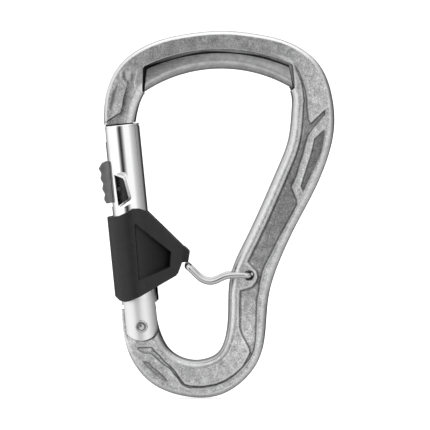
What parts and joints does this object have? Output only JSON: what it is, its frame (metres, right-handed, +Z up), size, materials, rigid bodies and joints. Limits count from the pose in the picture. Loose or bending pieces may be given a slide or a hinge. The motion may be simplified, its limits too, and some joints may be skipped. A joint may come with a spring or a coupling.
{
  "type": "locking carabiner",
  "caption": "Pear-shaped belay carabiner with a steel rope insert, a slide-locked hollow gate and a wire bar that closes off its small eye.",
  "frame": {"origin": "centre of the whole carabiner's bounding box", "axes": "+Z up from the small eye to the bow, +X from the gate to the spine, Y through the thickness"},
  "size_m": [0.0727, 0.0146, 0.1132],
  "materials": {
    "frame_aluminium": "forged and tumbled, matt",
    "insert_steel": "smooth satin",
    "rivet_steel": "satin",
    "gate_aluminium": "polished",
    "sleeve_plastic": "fine matt",
    "pin_steel": "satin",
    "spring_steel": "drawn wire",
    "slider_grey": "satin grey",
    "bolt_black": "satin black",
    "wire_steel": "polished stainless"
  },
  "bodies": {
    "frame_body": {"frame": "frame_aluminium", "steel_insert": "insert_steel", "hinge_rivet": "rivet_steel"},
    "gate": {"gate_tube": "gate_aluminium", "wing_sleeve": "sleeve_plastic", "divider_pin": "pin_steel", "gate_spring": "spring_steel", "lock_spring": "spring_steel"},
    "slide": {"lock_slider": "slider_grey", "lock_bolt": "bolt_black", "slider_pin": "pin_steel"},
    "plunger": {"spring_plunger": "pin_steel"},
    "wire": {"wire_bar": "wire_steel"}
  },
  "joints": [
    {"name": "gate_swing", "type": "hinge", "parent": "frame_body", "child": "gate", "pos_m": [-0.023, 0, -0.0344], "axis": [0, 1, 0], "range_deg": [0, 20], "stiffness_Nm_per_rad": 0.06, "springref_deg": -20.05},
    {"name": "slider_slide", "type": "slide", "parent": "gate", "child": "slide", "axis": [0.0992, 0, -0.9951], "range_m": [0, 0.0035], "stiffness_N_per_m": 200, "springref_m": -0.003, "deforming": ["lock_spring"]},
    {"name": "plunger_slide", "type": "slide", "parent": "gate", "child": "plunger", "axis": [-0.0992, 0, 0.9951], "range_m": [0, 0.0014], "deforming": ["gate_spring"]},
    {"name": "wire_swing", "type": "hinge", "parent": "frame_body", "child": "wire", "pos_m": [0.0101, 0, -0.0187], "axis": [0, -1, 0], "range_deg": [0, 50]}
  ],
  "couplings": [
    {"joint": "plunger_slide", "follows": "gate_swing", "m_per_rad": 0.004},
    {"joint": "wire_swing", "follows": "gate_swing", "ratio": 2.4}
  ]
}
